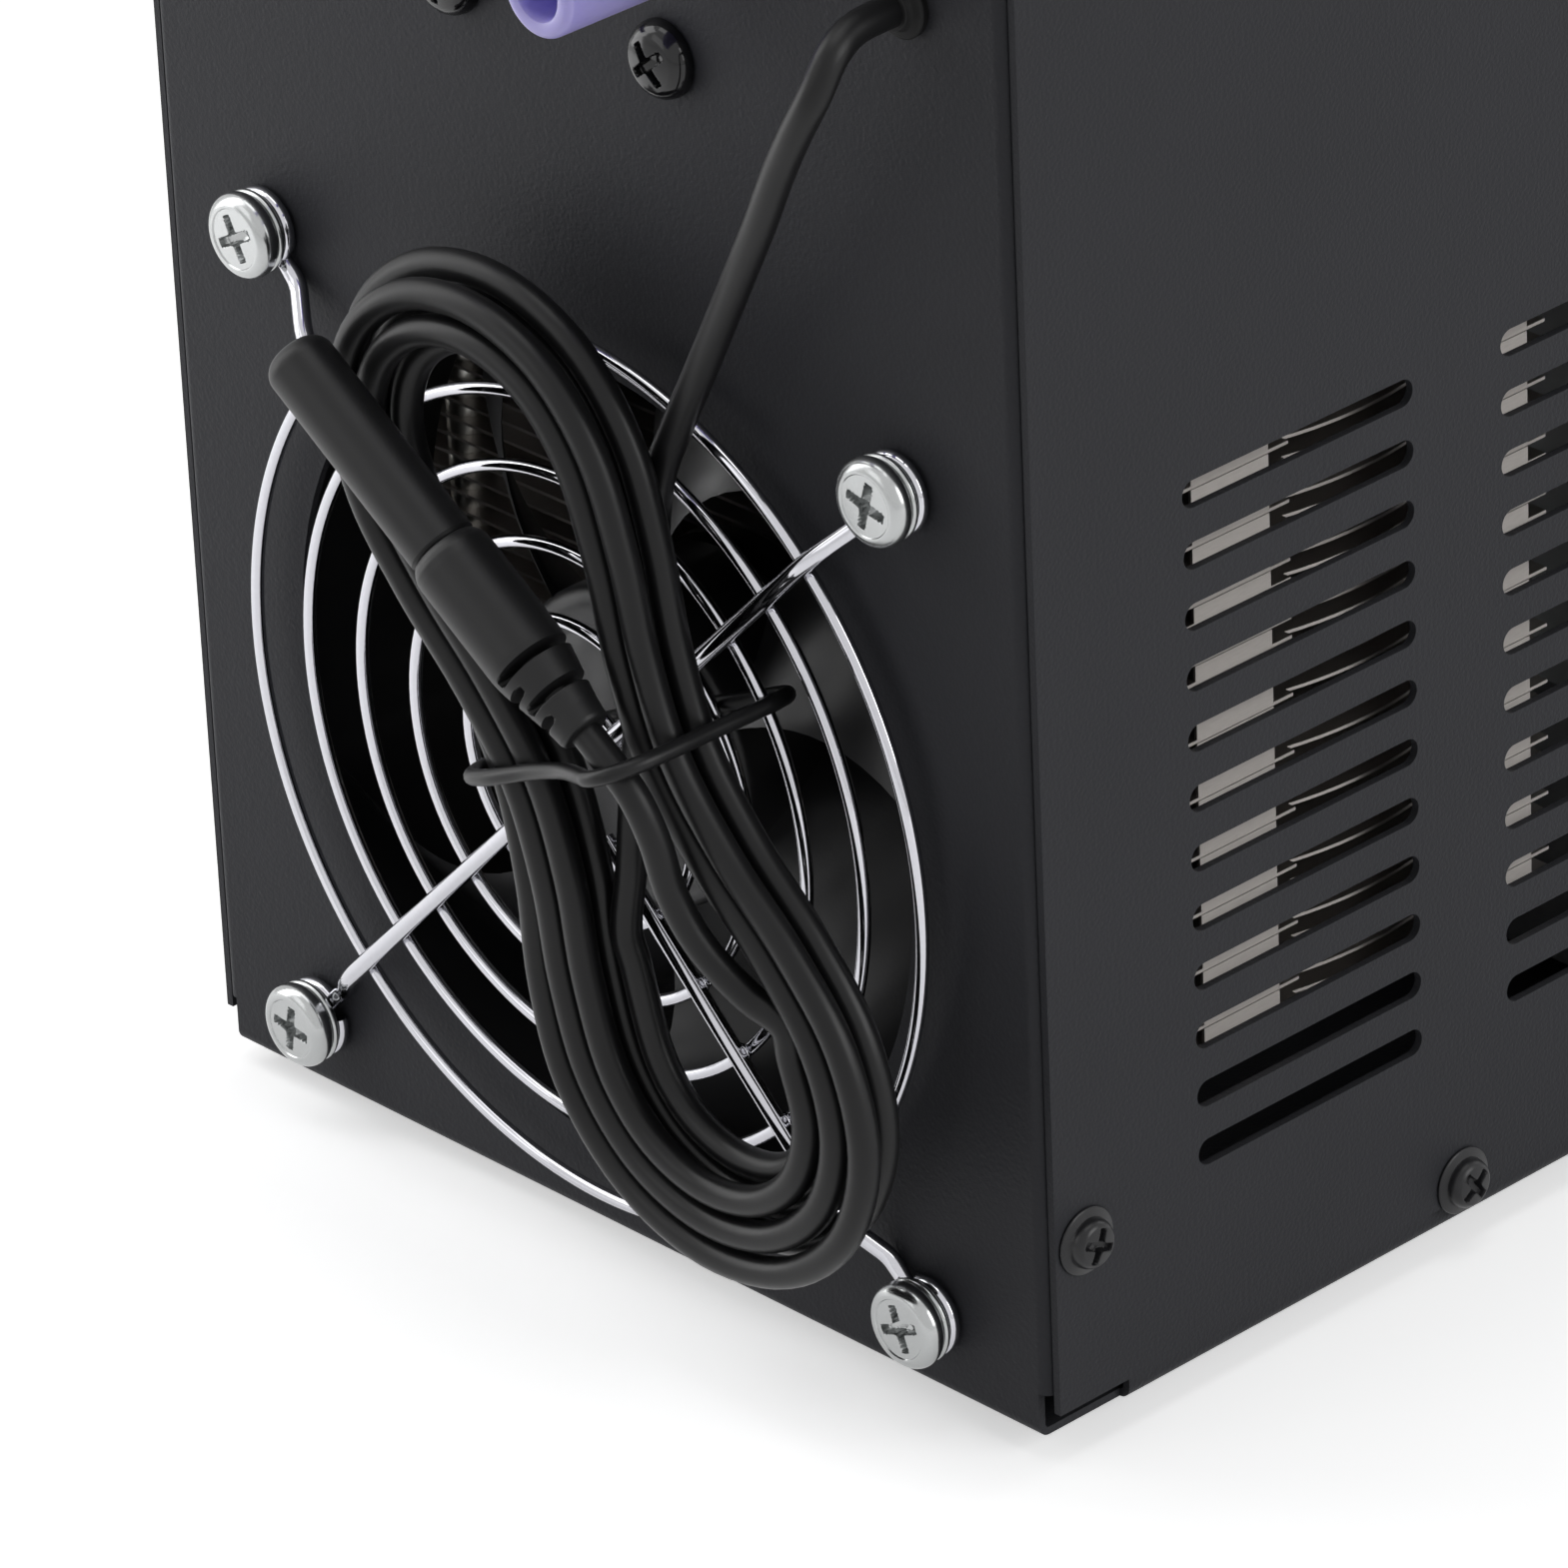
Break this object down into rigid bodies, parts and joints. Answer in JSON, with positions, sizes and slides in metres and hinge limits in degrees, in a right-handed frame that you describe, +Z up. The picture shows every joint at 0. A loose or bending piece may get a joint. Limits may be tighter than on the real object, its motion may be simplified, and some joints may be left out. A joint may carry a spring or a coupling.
{
  "type": "aquarium chiller",
  "caption": "Box-shaped fan-cooled thermoelectric water chiller in a bent steel case, with hose stubs, slotted sides, a wire fan guard and a coiled probe cord.",
  "frame": {"origin": "centre of the footprint, on the plane that the rubber feet stand on", "axes": "+Y towards the fan and hose side (rear), -Y towards the control panel, +Z up, -X towards the slotted side nearest the viewer of the picture"},
  "size_m": [0.1492, 0.2716, 0.208],
  "materials": {
    "case_paint": "matte",
    "black_screw": "gloss",
    "zinc": "satin",
    "guard_chrome": "polished",
    "fan_plastic": "satin",
    "magnet": "matte",
    "steel": "satin",
    "copper": "satin",
    "board_green": "satin",
    "aluminium": "satin",
    "ceramic": "matte",
    "rubber": "matte",
    "stub_plastic": "satin",
    "black_plastic": "satin",
    "brass_pins": "satin",
    "window": "gloss",
    "cord": "satin"
  },
  "bodies": {
    "case": {"chassis": "case_paint", "cover": "case_paint", "cover_screws": "black_screw", "feet": "rubber", "fan_frame": "fan_plastic", "fan_bearings": "steel", "fan_stator": "copper", "fan_board": "board_green", "fan_guard": "guard_chrome", "guard_rings": "guard_chrome", "guard_screws": "zinc", "fin_stack": "aluminium", "heat_pipes": "copper", "base_plate": "aluminium", "cooling_module": "ceramic", "water_block": "aluminium", "block_gasket": "rubber", "block_lid": "aluminium", "lid_screws": "zinc", "clamp_bar": "steel", "clamp_screws": "zinc", "sink_bracket": "steel", "bracket_screws": "black_screw", "bracket_nuts": "zinc", "shelf_screws": "zinc", "inlet_stub": "stub_plastic", "outlet_stub": "stub_plastic", "port_seals": "rubber", "port_nuts": "zinc", "power_supply": "steel", "supply_terminals": "black_plastic", "supply_standoffs": "brass_pins", "control_board": "board_green", "board_standoffs": "brass_pins", "display_module": "black_plastic", "key_switches": "black_plastic", "relays": "black_plastic", "display_bezel": "black_plastic", "display_window": "window", "power_inlet": "black_plastic", "inlet_pins": "brass_pins", "switch_frame": "black_plastic", "cord_bush": "rubber", "cord_lead": "cord", "cord_hank": "cord", "cord_tail": "cord", "probe_boot": "cord", "probe_sleeve": "cord", "cord_tie": "cord"},
    "rotor": {"fan_impeller": "fan_plastic", "fan_magnet": "magnet", "fan_shaft": "steel"},
    "set_key": {"set_button": "black_plastic"},
    "up_key": {"up_button": "black_plastic"},
    "down_key": {"down_button": "black_plastic"},
    "power_switch": {"rocker": "black_plastic"}
  },
  "joints": [
    {"name": "fan_spin", "type": "hinge", "parent": "case", "child": "rotor", "pos_m": [0, 0.09675, 0.0658], "axis": [0, 1, 0], "continuous": true},
    {"name": "set_press", "type": "slide", "parent": "case", "child": "set_key", "axis": [0, 1, 0], "range_m": [0, 0.001], "stiffness_N_per_m": 800, "springref_m": -0.0005},
    {"name": "up_press", "type": "slide", "parent": "case", "child": "up_key", "axis": [0, 1, 0], "range_m": [0, 0.001], "stiffness_N_per_m": 800, "springref_m": -0.0005},
    {"name": "down_press", "type": "slide", "parent": "case", "child": "down_key", "axis": [0, 1, 0], "range_m": [0, 0.001], "stiffness_N_per_m": 800, "springref_m": -0.0005},
    {"name": "switch_rock", "type": "hinge", "parent": "case", "child": "power_switch", "pos_m": [0.019, 0.10675, 0.196], "axis": [0, 0, -1], "range_deg": [0, 20]}
  ]
}
